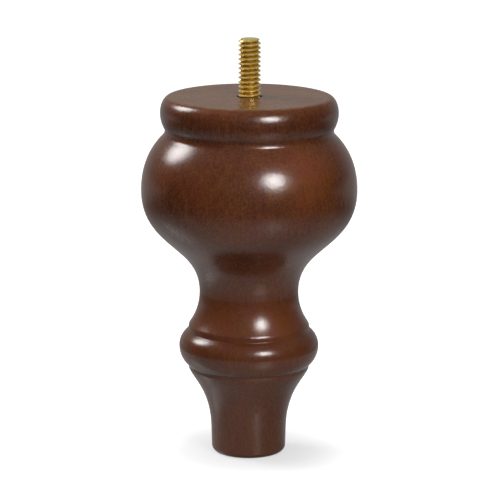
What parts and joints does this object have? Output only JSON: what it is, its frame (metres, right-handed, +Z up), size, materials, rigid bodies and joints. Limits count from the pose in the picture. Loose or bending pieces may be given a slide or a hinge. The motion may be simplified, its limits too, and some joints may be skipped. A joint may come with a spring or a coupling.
{
  "type": "turned wooden furniture leg",
  "caption": "Turned hardwood furniture leg with a rounded rim, vase-shaped bulb, ringed waist and small round foot, and a threaded hanger bolt standing out of its flat top.",
  "frame": {"origin": "centre of the foot's bottom face, on the leg's axis", "axes": "+Z up along the leg's axis, from the foot to the stud; the part is round, so X and Y are free"},
  "size_m": [0.0602, 0.0602, 0.1177],
  "materials": {
    "stained_wood": "reddish brown stain under a satin gloss clear lacquer, end grain on the top and under the foot",
    "plated_steel": "yellow zinc plated steel, rolled thread"
  },
  "bodies": {
    "root": {"turned_leg": "stained_wood", "hanger_bolt": "plated_steel"}
  },
  "joints": []
}
